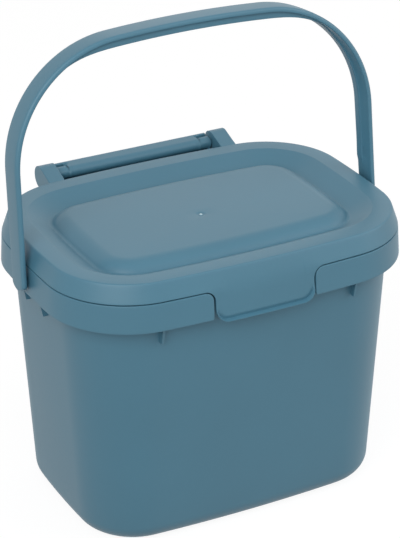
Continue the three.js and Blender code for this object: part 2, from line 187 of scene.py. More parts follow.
def length(name, description, millimetres):
    """A size in metres whose default is given in millimetres."""
    return FloatProperty(
        name=name, description=description, default=millimetres / METRE,
        unit="LENGTH", subtype="DISTANCE", precision=4,
    )


class CaddyPlan(bpy.types.PropertyGroup):
    """The outline of the band seen from above."""

    half_width: length("Half width", "From the middle to the band's end faces", 118)
    half_depth: length("Half depth", "From the middle to the band's front face", 85.2)
    corner_radius: length("Corner radius", "Radius of the four corners", 55)
    side_radius: length("Side radius", "Radius of the long, slightly bowed sides", 1020)
    end_radius: length("End radius", "Radius of the short, slightly bowed ends", 670)


class CaddyBucket(bpy.types.PropertyGroup):
    """The tapered bucket and its turned-over band."""

    rim_height: length("Rim height", "From the base to the top of the band", 173.3)
    wall: length("Wall", "Thickness of the wall", 2)
    floor: length("Floor", "Thickness of the floor", 2.4)
    overhang: length("Overhang", "How far the band stands out from the wall", 8.1)
    taper: length("Taper", "How far the wall leans in from the band to the base", 8.7)
    foot_radius: length("Foot radius", "Radius between the wall and the base", 12)
    lip_rise: length("Lip rise", "How far the inner lip stands above the band", 2.6)
    band_height: length("Band height", "Height of the band", 18.1)
    band_wall: length("Band wall", "Thickness of the band", 2)
    band_lean: length("Band lean", "How far the band leans in at its top", 1.1)
    band_edge: length("Band edge", "Radius of the band's top edge", 0.4)
    band_shy: length("Band shy", "How far the band's top stays below the rim's height", 0.35)
    gusset_wall: length("Gusset wall", "Thickness of the gussets under the band", 1.6)
    gusset_drop: length("Gusset drop", "How far the gussets reach below the band", 11.5)
    gusset_toe: length("Gusset toe", "How far the gussets stand out at their lower end", 3)
    gusset_waist: length("Gusset waist", "How far the gussets stand out under the band", 5.3)
    gusset_front: length("Front gussets", "From the middle to the front gussets", 65)
    gusset_end: length("End gussets", "From the middle to the end gussets", 12.5)


class CaddyLid(bpy.types.PropertyGroup):
    """The lid with its moat, raised panel, skirt and front tab."""

    seat_gap: length("Seat gap", "Gap between the band and the skirt", 0.4)
    skirt_height: length("Skirt height", "Height of the skirt", 11.5)
    skirt_lean: length("Skirt lean", "How far the skirt leans in at its top", 3.5)
    edge_radius: length("Edge radius", "Radius between the rim and the skirt", 1.4)
    plate: length("Plate", "Thickness of the lid", 2)
    rim_width: length("Rim width", "Width of the flat rim", 12.4)
    moat_slope: length("Moat slope", "Width of the slope down from the rim", 15)
    moat_depth: length("Moat depth", "Depth of the moat below the rim", 8)
    panel_run: length("Panel run", "Width of the panel's rounded shoulder", 12)
    panel_drop: length("Panel drop", "How far the panel lies below the rim", 1.4)
    panel_crown: length("Panel crown", "How far the panel rises to its middle", 0.5)
    plug_gap: length("Plug gap", "Gap between the locating rim and the bucket", 0.9)
    plug_wall: length("Plug wall", "Thickness of the locating rim", 1.7)
    plug_depth: length("Plug depth", "How far the locating rim reaches into the bucket", 4)
    tab_half: length("Tab half width", "From the middle to the tab's sides", 33)
    tab_drop: length("Tab drop", "How far the tab hangs below the band", 2.2)
    tab_corner: length("Tab corner", "Radius of the tab's lower corners", 8)
    tab_fillet: length("Tab fillet", "Radius between the tab and the skirt", 7)
    tab_gap: length("Tab gap", "Gap beside the tab", 1.2)
    notch_radius: length("Notch radius", "Radius of the band's corners beside the tab", 5.5)
    lip_reach: length("Lip reach", "How far the tab's finger lip stands out", 2)
    lip_dish: length("Lip dish", "How far the tab's face dips in above the finger lip", 0.7)
    lip_rise: length("Lip rise", "How far the finger lip reaches up the tab's sides", 9)


class CaddyHinge(bpy.types.PropertyGroup):
    """The hinge bracket on the bucket and the knuckles on the lid."""

    reach: length("Reach", "From the band's back to the hinge line", 8.9)
    drop: length("Drop", "From the lid's top to the hinge line", 2.7)
    barrel_radius: length("Barrel radius", "Radius of the barrel", 4.1)
    barrel_half: length("Barrel half length", "From the middle to the barrel's ends", 54.8)
    pin_radius: length("Pin radius", "Radius of the pin stubs", 2.3)
    pin_length: length("Pin length", "Length of the pin stubs", 5.4)
    knuckle_radius: length("Knuckle radius", "Radius of the knuckles", 7.4)
    knuckle_width: length("Knuckle width", "Width of the knuckles", 10.6)
    end_gap: length("End gap", "Gap between the barrel and the knuckles", 1.2)
    wall_gap: length("Wall gap", "From the hinge line to the bracket's wall", 4.2)
    wall: length("Wall", "Thickness of the bracket's wall", 2)
    wall_rise: length("Wall rise", "How far the bracket's wall stands above the lid", 1.9)
    web_inset: length("Web inset", "Length of the notches at the bracket's ends", 8.3)


class CaddyBail(bpy.types.PropertyGroup):
    """The bail handle."""

    reach: length("Reach", "How far the feet stand out from the band", 5.1)
    draw_in: length("Draw in", "How far the arms lean in at the shoulders", 1.57)
    pivot_rise: length("Pivot rise", "From the band's bottom to the pivots", 7.3)
    arm_rise: length("Arm rise", "From the pivots to the shoulders", 68.8)
    shoulder_radius: length("Shoulder radius", "Radius of the shoulders", 75.3)
    crown_radius: length("Crown radius", "Radius of the crown", 765)
    width: length("Width", "Width of the strap at the crown", 17)
    foot_width: length("Foot width", "Width of the strap at the feet", 15.7)
    foot_drop: length("Foot drop", "How far the feet reach below the pivots", 4.2)
    seat_radius: length("Seat radius", "Radius of the seats between the feet and the band", 4.1)
    stud_radius: length("Stud radius", "Radius of the studs that turn in the sockets", 2.9)
    stud_gap: length("Stud gap", "Gap round the studs in the sockets", 0.3)
    socket_wall: length("Socket wall", "Thickness of the sockets' walls", 2.2)
    strap: length("Strap", "Thickness of the strap", 3.45)
    rib_depth: length("Rib depth", "Depth of the grip rib under the crown", 4.2)
    rib_inset: length("Rib inset", "How far the grip rib lies inside the strap's edges", 2.4)
    land_depth: length("Land depth", "Depth of the land along the rear of the shoulders", 0.7)
    land_foot: length("Land foot", "Depth of the land just above the lid", 1)
    lean: FloatProperty(
        name="Lean", description="How far the standing bail leans back",
        default=math.radians(5.77), subtype="ANGLE", unit="ROTATION",
    )


class CaddyLook(bpy.types.PropertyGroup):
    """The plastic and the studio."""

    plastic: FloatVectorProperty(
        name="Plastic", description="Colour of the moulded plastic", subtype="COLOR",
        size=3, min=0, max=1, default=(0.067, 0.196, 0.278),
    )
    roughness: FloatProperty(
        name="Roughness", description="Roughness of the moulded plastic",
        default=0.44, min=0, max=1, subtype="FACTOR",
    )
    # The gate colour is a painted highlight: a pale glint tinted onto the lid's pip
    gate: FloatVectorProperty(
        name="Gate", description="Colour of the pale gate mark in the middle of the lid",
        subtype="COLOR", size=3, min=0, max=1, default=(0.55, 0.72, 0.78),
    )
    key_power: FloatProperty(
        name="Key power", description="Power of the large lamp above the front left",
        default=17.9, min=0, unit="POWER",
    )
    fill_power: FloatProperty(
        name="Fill power", description="Power of the large lamp above the front right",
        default=9.9, min=0, unit="POWER",
    )
    glance_power: FloatProperty(
        name="Glance power", description="Power of the lamp behind that the lid's top mirrors",
        default=1.5, min=0, unit="POWER",
    )
    ambient: FloatProperty(
        name="Ambient", description="Strength of the light from all round",
        default=0.4, min=0, max=2,
    )


# Geometry


def millimetres(group):
    """A group's properties as plain numbers, with lengths in millimetres."""
    values = {}
    for key, prop in group.bl_rna.properties.items():
        if prop.type == "FLOAT" and not prop.is_array:
            scale = METRE if prop.unit == "LENGTH" else 1
            values[key] = round(getattr(group, key) * scale, 5)
    return SimpleNamespace(**values)


class Station:
    """A place on the plan outline, from which parallel outlines are reached straight inwards."""

    def __init__(self, centre, angle, radius):
        self.centre = centre
        self.heading = (math.cos(angle), math.sin(angle))
        self.radius = radius

    def at(self, inset, z):
        reach = self.radius - inset
        x = self.centre[0] + self.heading[0] * reach
        y = self.centre[1] + self.heading[1] * reach
        return Vector((x, y, z))

    def mirrored(self):
        twin = Station(self.centre, 0, self.radius)
        twin.centre = (-self.centre[0], self.centre[1])
        twin.heading = (-self.heading[0], self.heading[1])
        return twin


class Outline:
    """The plan outline: four long arcs joined by four corner arcs."""

    def __init__(self, plan):
        self.plan = plan
        self.side_y = plan.half_depth - plan.side_radius
        self.end_x = plan.half_width - plan.end_radius
        reach_side = plan.side_radius - plan.corner_radius
        reach_end = plan.end_radius - plan.corner_radius
        apart = math.hypot(self.end_x, self.side_y)
        along = (reach_side ** 2 - reach_end ** 2 + apart ** 2) / (2 * apart)
        off = math.sqrt(reach_side ** 2 - along ** 2)
        across = (self.end_x / apart, -self.side_y / apart)
        self.corner_x = across[0] * along + across[1] * off
        self.corner_y = self.side_y + across[1] * along - across[0] * off
        self.end_angle = math.atan2(self.corner_y, self.corner_x - self.end_x)
        self.side_angle = math.atan2(self.corner_y - self.side_y, self.corner_x)

    def front(self, x):
        """The station on the front's long arc at a place x."""
        radius = self.plan.side_radius
        return Station((0, -self.side_y), math.asin(x / radius) - math.pi / 2, radius)

    def arc(self, centre, radius, start, stop, spacing):
        steps = max(1, math.ceil(radius * abs(stop - start) / spacing))
        return [
            Station(centre, start + (stop - start) * k / steps, radius) for k in range(steps)
        ]

    def half(self, start, spacing):
        """Stations from a place on the front, round the right end, to the middle of the back."""
        plan = self.plan
        side, end = self.side_angle, self.end_angle
        first = math.asin(start / plan.side_radius) - math.pi / 2
        corner = (self.corner_x, self.corner_y)
        stations = self.arc((0, -self.side_y), plan.side_radius, first, -side, spacing)
        stations += self.arc((corner[0], -corner[1]), plan.corner_radius, -side, -end, spacing)
        stations += self.arc((self.end_x, 0), plan.end_radius, -end, end, spacing)
        stations += self.arc(corner, plan.corner_radius, end, side, spacing)
        stations += self.arc((0, self.side_y), plan.side_radius, side, math.pi / 2, spacing)
        stations.append(Station((0, self.side_y), math.pi / 2, plan.side_radius))
        return stations

    def around(self, start, spacing):
        """Stations from a place on the front's right, round the back, to its mirror image."""
        right = self.half(start, spacing)
        return right + [station.mirrored() for station in reversed(right[:-1])]

    def side_reach(self, x, inset):
        """Distance from the middle to a long side, at a place along it."""
        straight = (self.plan.side_radius - inset) * math.cos(self.side_angle)
        if abs(x) < straight:
            return self.side_y + math.sqrt((self.plan.side_radius - inset) ** 2 - x ** 2)
        across = abs(x) - self.corner_x
        return self.corner_y + math.sqrt((self.plan.corner_radius - inset) ** 2 - across ** 2)

    def end_reach(self, y, inset):
        """Distance from the middle to an end, at a place across it."""
        return self.end_x + math.sqrt((self.plan.end_radius - inset) ** 2 - y ** 2)


class Caddy:
    """Every size in millimetres, with the heights and places that follow from them."""

    def __init__(self, scene):
        self.plan = millimetres(scene.caddy_plan)
        self.bucket = millimetres(scene.caddy_bucket)
        self.lid = millimetres(scene.caddy_lid)
        self.hinge = millimetres(scene.caddy_hinge)
        self.bail = millimetres(scene.caddy_bail)
        self.outline = Outline(self.plan)
        bucket, lid, hinge = self.bucket, self.lid, self.hinge
        self.rim = bucket.rim_height
        self.band_bottom = self.rim - bucket.band_height
        self.skirt_bottom = self.rim + lid.seat_gap
        self.band_top = self.rim - bucket.band_shy
        self.lid_top = self.skirt_bottom + lid.skirt_height
        self.rim_inset = bucket.band_lean + lid.skirt_lean
        self.crease_inset = self.rim_inset + lid.rim_width
        self.moat_inset = self.crease_inset + lid.moat_slope
        self.panel_inset = self.moat_inset + lid.panel_run
        self.panel_top = self.lid_top - lid.panel_drop
        self.tab_bottom = self.band_bottom - lid.tab_drop
        self.axis_y = self.plan.half_depth + hinge.reach
        self.axis_z = self.lid_top - hinge.drop
        self.knuckle_inner = hinge.barrel_half + hinge.end_gap
        self.pivot_z = self.band_bottom + self.bail.pivot_rise
        self.foot_half = self.plan.half_width + self.bail.reach

    def wall_inset(self, z):
        """How far the bucket's wall lies inside the outline at a height."""
        share = 1 - min(z, self.band_bottom) / self.band_bottom
        return self.bucket.overhang + self.bucket.taper * share

    def band_inset(self, z):
        """How far the band's face lies inside the outline at a height."""
        top = self.rim - self.bucket.band_edge
        share = (z - self.band_bottom) / (top - self.band_bottom)
        return self.bucket.band_lean * min(max(share, 0), 1)

    def skirt_inset(self, z, softness):
        """How far the skirt's face lies inside, with a soft bend where the tab begins."""
        lean = self.bucket.band_lean
        below = lean / (self.skirt_bottom - self.band_bottom)
        above = self.lid.skirt_lean / (self.lid.skirt_height - self.lid.edge_radius)
        rise = z - self.skirt_bottom
        bend = softness * math.log1p(math.exp(rise / softness))
        return max(0, lean + below * rise) + (above - below) * bend


def smooth(share):
    share = min(max(share, 0), 1)
    return share * share * (3 - 2 * share)


def mix(start, stop, share):
    return start + (stop - start) * share


def shares(steps):
    """Even shares after 0, up to and with 1."""
    return [(k + 1) / steps for k in range(steps)]


def rounded(corners, closed=False):
    """A line through (u, v, radius) corners, each turned into an arc of its radius."""
    points = []
    count = len(corners)
    for k, (u, v, radius) in enumerate(corners):
        if radius == 0 or (not closed and k in (0, count - 1)):
            points.append((u, v))
            continue
        before, after = corners[k - 1], corners[(k + 1) % count]
        start = math.atan2(before[1] - v, before[0] - u)
        turn = math.remainder(math.atan2(after[1] - v, after[0] - u) - start, math.tau)
        half = abs(turn) / 2
        middle = start + turn / 2
        away = radius / math.sin(half)
        centre = (u + away * math.cos(middle), v + away * math.sin(middle))
        sweep = math.copysign(math.pi - 2 * half, -turn)
        first = middle + math.pi - sweep / 2
        steps = max(2, math.ceil(abs(sweep) / math.radians(16)))
        for j in range(steps + 1):
            a = first + sweep * j / steps
            points.append((centre[0] + radius * math.cos(a), centre[1] + radius * math.sin(a)))
    return points


def loft(bm, rows, loop=True, caps=False):
    """Draws the first row of points as a line of edges and extrudes every other row from it."""
    line = [bm.verts.new(point) for point in rows[0]]
    first = line
    count = len(line)
    spans = range(count if loop else count - 1)
    edges = [bm.edges.new((line[k], line[(k + 1) % count])) for k in spans]
    for row in rows[1:]:
        made = bmesh.ops.extrude_edge_only(bm, edges=edges)["geom"]
        new = {v for v in made if isinstance(v, bmesh.types.BMVert)}
        line = [
            next(e.other_vert(v) for e in v.link_edges if e.other_vert(v) in new) for v in line
        ]
        for vert, point in zip(line, row):
            vert.co = point
        edges = [bm.edges.get((line[k], line[(k + 1) % count])) for k in spans]
    if caps:
        bm.faces.new(first)
        bm.faces.new(line)
    return first, line


def close_pole(bm, line, point):
    """Closes a ring of points with a fan to one point."""
    edges = [bm.edges.get((line[k - 1], line[k])) for k in range(len(line))]
    made = bmesh.ops.extrude_edge_only(bm, edges=edges)["geom"]
    new = [v for v in made if isinstance(v, bmesh.types.BMVert)]
    bmesh.ops.pointmerge(bm, verts=new, merge_co=point)


def round_ends(bm, lines, edge, segments=2):
    """Rounds the edges of closed rings of points."""
    rims = [bm.edges.get((line[k - 1], line[k])) for line in lines for k in range(len(line))]
    bmesh.ops.bevel(
        bm, geom=rims, offset=edge, offset_type="OFFSET", affect="EDGES",
        segments=segments, profile=0.5, material=-1, clamp_overlap=True,
    )


def slab(bm, outline, start, stop, edge, segments=2):
    """A closed (y, z) outline run along X, with its ends' edges rounded."""
    rows = [[Vector((x, y, z)) for y, z in outline] for x in (start, stop)]
    round_ends(bm, loft(bm, rows, caps=True), edge, segments)


def turned_bar(bm, profile, y, z, steps=40):
    """A bar along X from its (x, radius) profile, closed at both ends."""
    rows = []
    for x, radius in profile:
        angles = [math.tau * k / steps for k in range(steps)]
        rows.append([
            Vector((x, y + radius * math.cos(a), z + radius * math.sin(a))) for a in angles
        ])
    loft(bm, rows, caps=True)


def place_piece(name, bm, material, body, node, flat=False):
    """Turns a bmesh in millimetres into a finished piece that rides on a body of the frame."""
    bmesh.ops.recalc_face_normals(bm, faces=bm.faces)
    bmesh.ops.scale(bm, vec=(1 / METRE,) * 3, verts=bm.verts)
    if not all(edge.is_manifold for edge in bm.edges):
        open_edges = sum(not edge.is_manifold for edge in bm.edges)
        raise RuntimeError(f"{name} isn't closed: {open_edges} open edges")
    mesh = bpy.data.meshes.new(name)
    bm.to_mesh(mesh)
    bm.free()
    mesh.shade_smooth()
    mesh.set_sharp_from_angle(angle=SMOOTH_TURN)
    mesh.materials.append(material)
    piece = bpy.data.objects.new(name, mesh)
    bpy.context.scene.collection.objects.link(piece)
    if flat:
        weigh = piece.modifiers.new("flat_faces", "WEIGHTED_NORMAL")
        weigh.mode = "FACE_AREA"
        weigh.weight = 50
        weigh.keep_sharp = True
    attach(piece, body)
    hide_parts(node)
    return piece


# The body


def bucket_rows(caddy, stations):
    """Rings of the open bucket from the middle of its base, round its lip, to its inner floor."""
    size = caddy.bucket
    profile = []
    for share in (0.25, 0.5, 0.75, 0.93):
        profile.append((mix(POLE_INSET, caddy.wall_inset(0) + size.foot_radius, share), 0))
    for k in range(11):
        t = math.pi / 2 * (1 - k / 10)
        z = size.foot_radius * (1 - math.sin(t))
        profile.append((caddy.wall_inset(z) + size.foot_radius * (1 - math.cos(t)), z))
    for share in shares(10):
        z = mix(size.foot_radius, caddy.band_bottom, share)
        profile.append((caddy.wall_inset(z), z))
    lip_top = caddy.rim + size.lip_rise
    inner = size.overhang + size.wall
    profile.append((size.overhang, caddy.rim - RIM_LIP_OUTSIDE))
    profile += rounded([
        (size.overhang, caddy.rim, 0), (size.overhang, lip_top, RIM_LIP_ROUND),
        (inner, lip_top, RIM_LIP_ROUND), (inner, caddy.rim - RIM_LIP_INSIDE, 0),
    ])[1:]
    cove = size.foot_radius - size.wall
    for share in shares(9):
        z = mix(caddy.band_bottom, size.floor + cove, share)
        profile.append((caddy.wall_inset(z) + size.wall, z))
    for share in shares(9):
        t = math.pi / 2 * share
        z = size.floor + cove * (1 - math.sin(t))
        profile.append((caddy.wall_inset(z) + size.wall + cove * (1 - math.cos(t)), z))
    return [ring_at(stations, inset, z) for inset, z in profile]


def ring_at(stations, inset, z):
    """A parallel outline, drawn in towards the middle once its corners have no radius left."""
    least = min(station.radius for station in stations) - CORNER_LEAST
    if inset <= least:
        return [station.at(inset, z) for station in stations]
    share = (inset - least) / (POLE_INSET - least) * POLE_SHARE
    middle = Vector((0, 0, z))
    return [station.at(least, z).lerp(middle, share) for station in stations]


def build_bucket(caddy):
    bm = bmesh.new()
    stations = caddy.outline.around(0, BUCKET_SPACING)[:-1]
    rows = bucket_rows(caddy, stations)
    first, last = loft(bm, rows)
    close_pole(bm, first, Vector((0, 0, 0)))
    close_pole(bm, last, Vector((0, 0, caddy.bucket.floor)))
    return bm


def notch_columns(caddy):
    """The band's upper border from its corner below the notch up to its straight top."""
    lid = caddy.lid
    half = lid.tab_half + lid.tab_gap
    radius = lid.notch_radius
    columns = []
    for share in [0] + shares(6):
        z = mix(caddy.band_bottom + 1, caddy.band_top - radius, share)
        columns.append((half, z, 1, 0))
    for share in shares(10):
        a = math.pi - math.pi / 2 * share
        x = half + radius + radius * math.cos(a)
        z = caddy.band_top - radius + radius * math.sin(a)
        columns.append((x, z, -math.cos(a), -math.sin(a)))
    return columns


def band_section(caddy, station_of, place, normal, foot, inner_foot):
    """One closed cut through the band: flange top, rounded edge, face, lower edge and inside."""
    size = caddy.bucket
    edge, wall, root = size.band_edge, size.band_wall, size.overhang + BAND_BITE
    low = caddy.band_bottom
    straight = low + 0.5
    points = []

    def add(d, depth, end=None, share=0.0):
        x, z = place[0] + normal[0] * d, place[1] + normal[1] * d
        if end is not None:
            x, z = mix(x, end[0], share), mix(z, end[1], share)
        points.append(station_of(x).at(caddy.band_inset(z) + depth, z))

    for depth in (root, mix(root, edge, 0.5), wall, edge):
        add(0, depth)
    for share in (0.25, 0.5, 0.75, 1):
        t = math.pi / 2 * share
        add(edge * (1 - math.cos(t)), edge * (1 - math.sin(t)))
    target = (foot, straight)
    for share in (0.06, 0.3, 0.6, 0.94, 1):
        add(edge, 0, target, share)
    for dz, depth in ((0.1, 0.1), (0, 0.35), (0, wall - 0.35), (0.1, wall - 0.1)):
        x = mix(foot, inner_foot, depth / wall)
        points.append(station_of(x).at(depth, low + dz))
    target = (inner_foot, straight)
    for share in (1, 0.6, 0.3, 0.08):
        add(wall, wall, target, share)
    for depth in (wall + 0.5, mix(root, wall, 0.5), root):
        add(wall, depth)
    return points


def build_band(caddy):
    """The turned-over band, from one side of the notch round the back to the other."""
    lid, wall = caddy.lid, caddy.bucket.band_wall
    outline = caddy.outline
    half = lid.tab_half + lid.tab_gap
    columns = notch_columns(caddy)
    start = half + lid.notch_radius + NOTCH_RUN
    lengths = [0.0]
    for a, b in zip(columns, columns[1:]):
        lengths.append(lengths[-1] + math.dist(a[:2], b[:2]))
    whole = lengths[-1] + start - half - lid.notch_radius
    right = []
    for (x, z, nx, nz), run in zip(columns, lengths):
        share = run / whole
        foot = mix(half + caddy.bucket.band_edge, start, share)
        inner_foot = mix(half + wall, start, share)
        right.append(band_section(caddy, outline.front, (x, z), (nx, nz), foot, inner_foot))
    middle = []
    for station in outline.around(start, BAND_SPACING):
        place = (0, caddy.band_top)
        middle.append(band_section(caddy, lambda _, s=station: s, place, (0, -1), 0, 0))
    left = [[Vector((-p.x, p.y, p.z)) for p in row] for row in reversed(right)]
    bm = bmesh.new()
    loft(bm, right + middle + left, caps=True)
    return bm


def build_gussets(caddy):
    """Eight small fins between the wall and the band."""
    size = caddy.bucket
    bm = bmesh.new()
    low, high = caddy.band_bottom, caddy.rim - 1.2

    def fin(reach, turn, shift):
        wall, face = reach(size.overhang + GUSSET_BITE), reach(size.band_wall - GUSSET_BITE)
        toe = reach(size.overhang - size.gusset_toe)
        waist = reach(size.overhang - size.gusset_waist)
        outline = [
            (wall, low - size.gusset_drop), (toe, low - size.gusset_drop), (waist, low),
            (face, low + size.gusset_toe), (face, high), (wall, high),
        ]
        before = set(bm.verts)
        half = size.gusset_wall / 2
        slab(bm, outline, -half, half, 0.2)
        made = [v for v in bm.verts if v not in before]
        bmesh.ops.rotate(bm, cent=(0, 0, 0), matrix=Matrix.Rotation(turn, 3, "Z"), verts=made)
        bmesh.ops.translate(bm, vec=shift, verts=made)

    outline = caddy.outline
    for side in (-1, 1):
        for turn in (0, math.pi):
            x = side * size.gusset_front
            fin(lambda inset: outline.side_reach(x, inset), turn, (x, 0, 0))
            y = side * size.gusset_end
            fin(lambda inset: outline.end_reach(y, inset), turn + math.pi / 2, (0, y, 0))
    return bm


def bracket_outline(caddy, share, x):
    """The bracket's (y, z) outline, where the share says how far the web fills the notch."""
    hinge, outline = caddy.hinge, caddy.outline
    y, z, radius = caddy.axis_y, caddy.axis_z, hinge.barrel_radius
    front = outline.side_reach(x, caddy.bucket.band_wall / 2)
    wall_in = y + hinge.wall_gap
    wall_out = wall_in + hinge.wall
    top = caddy.lid_top + hinge.wall_rise
    floor_front = caddy.band_bottom + CHANNEL_LOW
    floor_back = floor_front + CHANNEL_RISE
    high_turn = mix(BARREL_NOTCH_TURN, BARREL_WEB_TURN, share)
    points = []
    for k in range(33):
        a = mix(BARREL_LOW_TURN, high_turn - math.tau, k / 32)
        points.append((y + radius * math.cos(a), z + radius * math.sin(a)))
    start = points[-1]
    bottom = z + radius * math.sin(BARREL_NOTCH_TURN) + 0.2
    for k in range(1, 9):
        bare = (wall_in, mix(bottom, top - 0.7, k / 9))
        full = (mix(start[0], wall_in, k / 9), mix(start[1], top - 0.05, k / 9))
        points.append((mix(bare[0], full[0], share), mix(bare[1], full[1], share)))
    lip = rounded([
        (wall_in, top - 0.9, 0), (wall_in, top, BRACKET_ROUND), (wall_in + 1, top, 0),
    ])[1:-1]
    points += [(u, mix(v, top - 0.03, share)) for u, v in lip]
    points += rounded([
        (wall_in + 0.8, top, 0), (wall_out, top, BRACKET_ROUND), (wall_out, floor_back, 1.2),
        (front, floor_front, 0),
    ])[1:]
    points += rounded([
        (front, floor_front + hinge.wall, 0), (wall_in, floor_back + hinge.wall, 1.5),
        (wall_in, z + radius * math.sin(BARREL_LOW_TURN) - 0.1, 0),
    ])
    return points


def build_bracket(caddy):
    """The bracket behind the band, with the barrel, its web, the notches and the ribs below."""
    hinge = caddy.hinge
    bm = bmesh.new()
    half = hinge.barrel_half - 0.2
    inner = hinge.barrel_half - hinge.web_inset
    # Places along the bracket, each with how far the web fills the notch there
    steps = [(-half, 0), (-half + 1.2, 0), (-inner - 1.6, 0), (-inner - 0.2, 1), (-inner + 1, 1)]
    steps += [(x, 1) for x in (-36, -24, -12, 0, 12, 24, 36)]
    steps += [(-x, share) for x, share in reversed(steps[:5])]
    rows = []
    for x, share in steps:
        row = []
        for y, z in bracket_outline(caddy, share, x):
            back = smooth((y - caddy.axis_y) / hinge.wall_gap) * share
            lean = 1.2 * back if abs(x) > inner - 2 else 0
            row.append(Vector((x - math.copysign(lean, x), y, z)))
        rows.append(row)
    round_ends(bm, loft(bm, rows, caps=True), BRACKET_END_ROUND)
    wall = caddy.axis_y + hinge.wall_gap + hinge.wall / 2
    low, rim = caddy.band_bottom, caddy.rim
    for k in range(5):
        x = (k / 4 - 0.5) * (2 * half - 2.4)
        front = caddy.outline.side_reach(x, caddy.bucket.band_wall / 2)
        rib = [(front, low + BRACKET_RIB_FRONT), (wall, low + BRACKET_RIB_BACK)]
        if k in (0, 4):
            rib += [(wall, caddy.axis_z), (caddy.axis_y, caddy.axis_z), (front + 1.4, rim + 1.6)]
        else:
            rib += [(wall, rim + 0.2)]
        rib += [(front, rim - 1.8)]
        slab(bm, rib, x - BRACKET_RIB, x + BRACKET_RIB, BRACKET_RIB_ROUND)
    return bm


def build_sockets(caddy):
    """The bosses behind the band that take the bail's studs."""
    bm = bmesh.new()
    bore = caddy.bail.stud_radius + caddy.bail.stud_gap
    outer = bore + caddy.bail.socket_wall
    for side in (-1, 1):
        stop = caddy.outline.end_reach(0, caddy.bucket.overhang + 1)
        face = caddy.outline.end_reach(0, caddy.bucket.band_wall / 2)
        profile = [(side * stop, outer), (side * face, outer), (side * face, bore)]
        profile += [(side * (stop + 1.2), bore), (side * (stop + 1.2), 0.4)]
        turned_bar(bm, profile, 0, caddy.pivot_z)
    return bm


# The lid


class SkirtColumn:
    """One upright line of the skirt, from its lower border up to the rim."""

    def __init__(self, caddy, top, border=None, lip=0.0, softness=SKIRT_SOFTNESS):
        self.caddy, self.top, self.border = caddy, top, border
        self.lip, self.softness = lip, softness

    def place(self, d, share, height):
        """The (x, z) place at a distance from the border, drawn towards the rim by a share."""
        if self.border is None:
            return None, mix(self.caddy.skirt_bottom + d, height, share)
        x, z, nx, nz = self.border
        return mix(x + nx * d, self.top_x, share), mix(z + nz * d, height, share)

    def at(self, d, depth, share=0.0, height=0.0):
        x, z = self.place(d, share, height)
        station = self.top if x is None else self.caddy.outline.front(x)
        inset = self.caddy.skirt_inset(z, self.softness) + depth
        if share == 0:
            shown = min(1.0, max(0.0, (2 - depth) / 1.5))
            inset -= self.lip * shown * lip_offset(self.caddy.lid, d)
        return station.at(inset, z)


def lip_offset(lid, d):
    """How far the tab's face stands out, or dips in, at a distance from its border."""
    if d < FINGER_LIP_ROOT:
        share = max(0.0, (d - FINGER_LIP_EDGE) / (FINGER_LIP_ROOT - FINGER_LIP_EDGE))
        return mix(lid.lip_reach, -lid.lip_dish, share)
    return -lid.lip_dish * (1 - smooth((d - FINGER_LIP_ROOT) / (FINGER_LIP_FACE - FINGER_LIP_ROOT)))


def tab_columns(caddy):
    """The skirt's columns along the right half of the tab, from its middle outwards."""
    lid = caddy.lid
    half, corner, fillet = lid.tab_half, lid.tab_corner, lid.tab_fillet
    low, top = caddy.tab_bottom, caddy.skirt_bottom
    bottom = [((half - corner) * k / 12, low, 0, 1) for k in range(13)]
    side = []
    for share in shares(12):
        a = math.pi / 2 * (share - 1)
        x = half - corner + corner * math.cos(a)
        side.append((x, low + corner + corner * math.sin(a), -math.cos(a), -math.sin(a)))
    for share in shares(6):
        side.append((half, mix(low + corner, top - fillet, share), -1, 0))
    flare = []
    for share in shares(11):
        a = math.pi - math.pi / 2 * share
        x = half + fillet + fillet * math.cos(a)
        flare.append((x, top - fillet + fillet * math.sin(a), math.cos(a), math.sin(a)))
    reach = SKIRT_ROWS[0][0]
    tops = [place[0] for place in bottom]
    tops += [mix(half - corner, half - reach, share) for share in shares(len(side))]
    tops += [x + nx * reach for x, z, nx, nz in flare]
    columns = []
    for place, x in zip(bottom + side + flare, tops):
        fade = smooth(1.25 - (place[1] - low) / lid.lip_rise)
        share = smooth((half + fillet - x) / SOFTNESS_RUN)
        softness = mix(SKIRT_SOFTNESS, TAB_SOFTNESS, share)
        column = SkirtColumn(caddy, caddy.outline.front(x), place, fade, softness)
        column.top_x = x
        columns.append(column)
    return columns


def mirrored_column(column):
    x, z, nx, nz = column.border
    twin = SkirtColumn(
        column.caddy, column.top.mirrored(), (-x, z, -nx, nz), column.lip, column.softness,
    )
    twin.top_x = -column.top_x
    return twin


def lid_columns(caddy):
    """All the skirt's columns, from the tab's left fillet to the right and round the back."""
    right = tab_columns(caddy)
    left = [mirrored_column(column) for column in reversed(right[1:])]
    start = caddy.lid.tab_half + caddy.lid.tab_fillet
    rest = caddy.outline.around(start, LID_SPACING)[1:-1]
    return left + right + [SkirtColumn(caddy, station) for station in rest]


def panel_arc(caddy, drop):
    """The panel's rounded shoulder from its flat top down to the moat, lowered by a thickness."""
    lid = caddy.lid
    rise = lid.moat_depth - lid.panel_drop
    radius = (lid.panel_run ** 2 + rise ** 2) / (2 * rise)
    sweep = math.asin(lid.panel_run / radius)
    points = []
    for k in range(11):
        t = sweep * k / 12
        inset = caddy.panel_inset - (radius - drop) * math.sin(t)
        points.append((inset, caddy.panel_top - radius + (radius - drop) * math.cos(t)))
    return points


